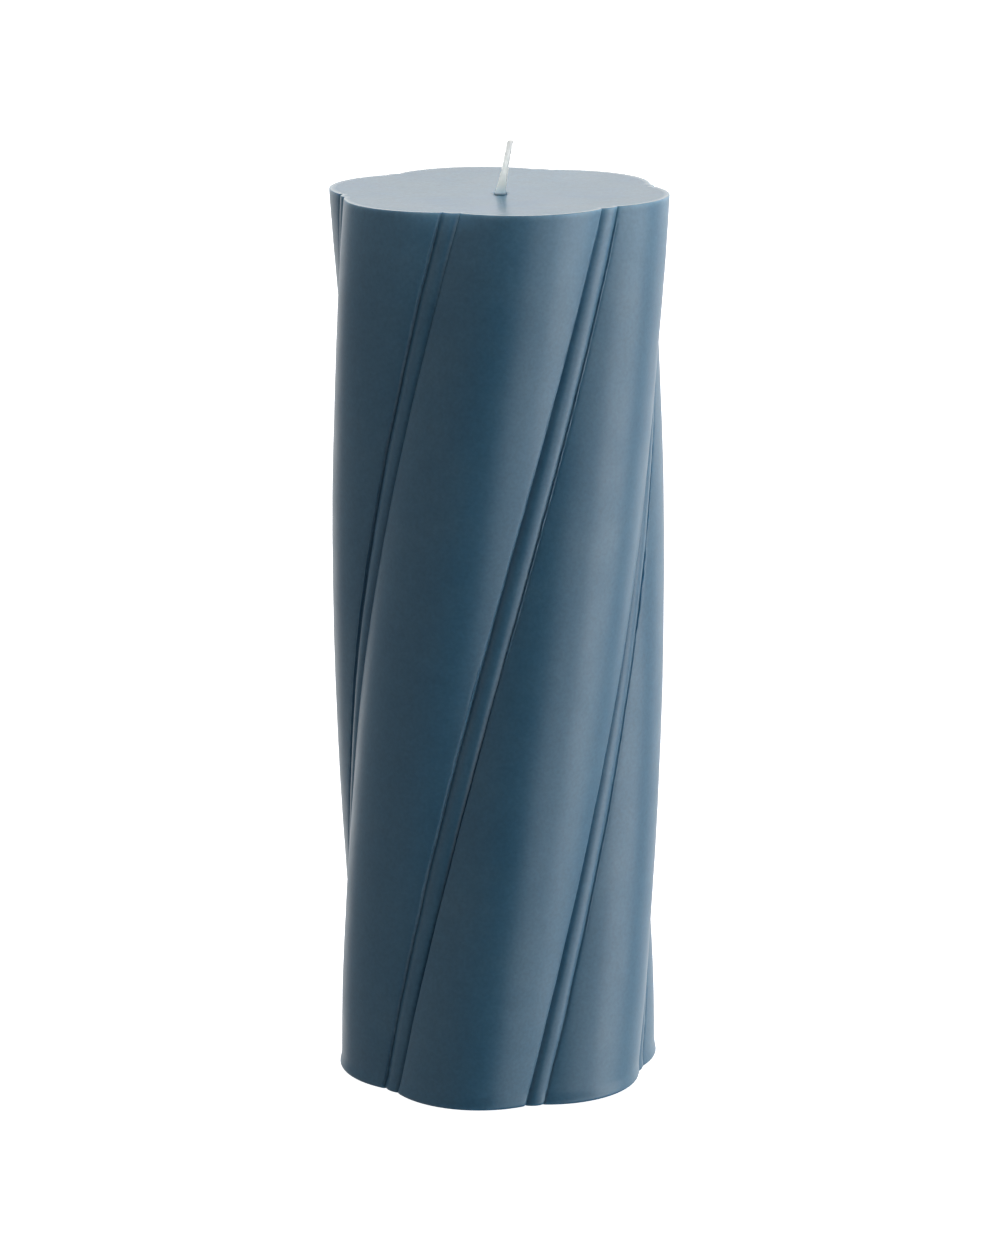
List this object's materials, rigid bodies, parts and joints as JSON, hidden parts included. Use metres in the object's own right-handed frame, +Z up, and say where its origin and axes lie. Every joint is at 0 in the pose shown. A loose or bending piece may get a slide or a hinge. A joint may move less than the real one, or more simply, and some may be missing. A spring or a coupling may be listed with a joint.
{
  "type": "pillar candle",
  "caption": "Tall moulded pillar candle: broad rounded lobes swirl to the right, with a low strand in each valley, a slightly dished top and a leaning cotton wick.",
  "frame": {"origin": "on the wax body's axis, in the plane that the candle stands on", "axes": "+Z up the candle, from its base to the wick; -Y is the side that the picture shows"},
  "size_m": [0.0702, 0.071, 0.2005],
  "materials": {
    "wax": "satin petrol-blue candle wax, dyed right through",
    "cotton": "off-white braided cotton, primed with wax",
    "tinplate": "bright stamped tinplate"
  },
  "bodies": {
    "root": {"wax_body": "wax", "wick": "cotton", "wick_sustainer": "tinplate"}
  },
  "joints": []
}
